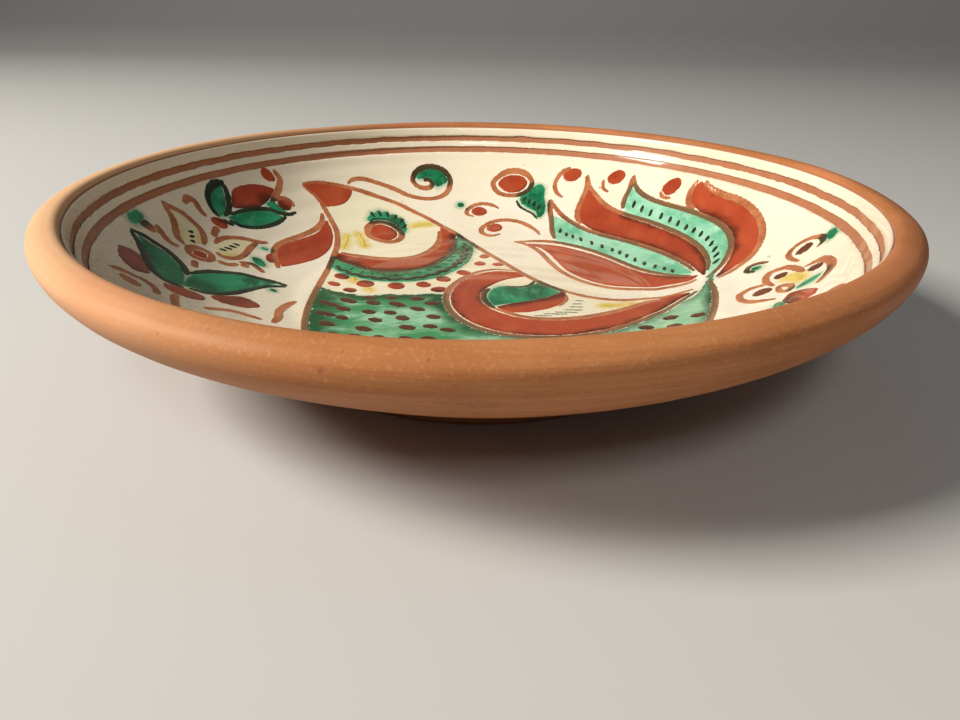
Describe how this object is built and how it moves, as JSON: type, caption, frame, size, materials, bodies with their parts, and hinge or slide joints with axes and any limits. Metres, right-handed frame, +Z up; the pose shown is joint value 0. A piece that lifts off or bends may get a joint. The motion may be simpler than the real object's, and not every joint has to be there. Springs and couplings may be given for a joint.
{
  "type": "painted ceramic plate",
  "caption": "Deep round earthenware plate with a bare clay lip, white slip lining, scratched bands and a painted bird with leaves and flowers.",
  "frame": {"origin": "centre of the circle on which the foot ring stands", "axes": "+Z up through the dish; +Y towards the top of the painting, +X to its right"},
  "size_m": [0.2, 0.2, 0.0404],
  "materials": {
    "bare_clay": "unglazed terracotta, smoothed on the wheel",
    "white_slip": "cream slip under a clear glossy glaze",
    "contour_line": "clay-brown scratched line under clear glaze",
    "red_slip": "red-brown iron slip under clear glaze",
    "dark_red_slip": "thick dark red-brown slip under clear glaze",
    "green_copper": "green copper stain under clear glaze",
    "mint_copper": "thin green copper wash under clear glaze",
    "dark_green_copper": "copper green pooled over brown lines",
    "yellow_iron": "thin iron yellow stain under clear glaze"
  },
  "bodies": {
    "root": {"clay_body": "bare_clay", "rim_slip_ring": "white_slip", "middle_slip_ring": "white_slip", "field_slip": "white_slip", "bird_contour": "contour_line", "beak": "red_slip", "crest_line": "contour_line", "crest_curl": "green_copper", "eye_ring": "contour_line", "eye_iris": "red_slip", "eye_lashes": "green_copper", "lash_ticks": "dark_green_copper", "wattle": "red_slip", "wattle_contour": "contour_line", "red_collar": "red_slip", "collar_contour": "contour_line", "green_collar": "green_copper", "collar_scallops": "dark_green_copper", "collar_ticks": "dark_green_copper", "breast_dots": "red_slip", "belly_wash": "mint_copper", "belly_dashes": "dark_red_slip", "wing_contour": "contour_line", "wing_red": "red_slip", "wing_leaf": "green_copper", "wing_feather": "red_slip", "wing_hatching": "dark_green_copper", "tail_contours": "contour_line", "tail_feather_1": "red_slip", "tail_feather_2": "mint_copper", "tail_feather_3": "red_slip", "tail_feather_4": "mint_copper", "tail_feather_5": "red_slip", "tail_ticks": "dark_green_copper", "top_dots": "red_slip", "top_curls": "contour_line", "green_drop": "green_copper", "drop_marks": "dark_green_copper", "flower_contours": "contour_line", "flower_dots": "dark_red_slip", "right_bud": "red_slip", "bud_petal": "red_slip", "bud_leaves": "green_copper", "bud_contours": "dark_green_copper", "bud_stem": "contour_line", "star_contours": "contour_line", "star_petals": "yellow_iron", "star_ticks": "dark_green_copper", "star_centre": "red_slip", "double_leaf": "green_copper", "leaf_contours": "dark_green_copper", "lower_petals": "dark_red_slip", "left_curls": "contour_line", "yellow_strokes": "yellow_iron", "green_smears": "green_copper", "bird_legs": "red_slip", "garland_leaves": "green_copper", "garland_petals": "red_slip", "garland_stems": "contour_line"}
  },
  "joints": []
}
